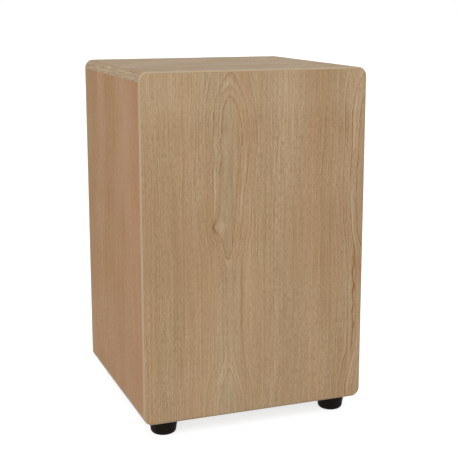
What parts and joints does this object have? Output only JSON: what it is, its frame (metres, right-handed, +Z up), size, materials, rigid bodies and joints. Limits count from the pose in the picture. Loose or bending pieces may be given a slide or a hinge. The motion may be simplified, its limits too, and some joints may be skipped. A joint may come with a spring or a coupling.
{
  "type": "cajon",
  "caption": "Box drum with a thin veneered playing board, a sound hole in the back, rubber feet and a snare bar inside that turns its strands off the board.",
  "frame": {"origin": "on the floor, under the middle of the box", "axes": "+Z up, -Y out of the playing board, +X to the right when facing the playing board"},
  "size_m": [0.3, 0.28, 0.46],
  "materials": {
    "tapa_veneer": "satin lacquered flat-cut veneer",
    "side_veneer": "satin lacquered straight veneer",
    "top_veneer": "satin lacquered veneer on a pale core",
    "hardwood": "bare beech",
    "rubber": "matte black",
    "steel": "bright zinc",
    "nylon": "natural nylon"
  },
  "bodies": {
    "box": {"tapa": "tapa_veneer", "back_panel": "side_veneer", "top_panel": "top_veneer", "bottom_panel": "top_veneer", "left_side_panel": "side_veneer", "right_side_panel": "side_veneer", "corner_block_upper_left": "hardwood", "corner_block_upper_right": "hardwood", "corner_block_lower_left": "hardwood", "corner_block_lower_right": "hardwood", "foot_front_left": "rubber", "foot_front_right": "rubber", "foot_rear_left": "rubber", "foot_rear_right": "rubber", "foot_washers": "steel", "foot_screws": "steel", "pivot_bush_left": "nylon", "pivot_bush_right": "nylon", "pivot_block_left": "hardwood", "pivot_block_right": "hardwood", "block_screws": "steel", "stop_pegs": "hardwood"},
    "snare": {"snare_bar": "hardwood", "pivot_pin_left": "steel", "pivot_pin_right": "steel", "snare_clip_left": "steel", "snare_clip_right": "steel", "snare_strands_left": "steel", "snare_strands_right": "steel", "clip_screws": "steel", "snare_lever": "hardwood"}
  },
  "joints": [
    {"name": "snare_throw", "type": "hinge", "parent": "box", "child": "snare", "pos_m": [0, -0.115, 0.31], "axis": [-1, 0, 0], "range_deg": [0, 20]}
  ]
}
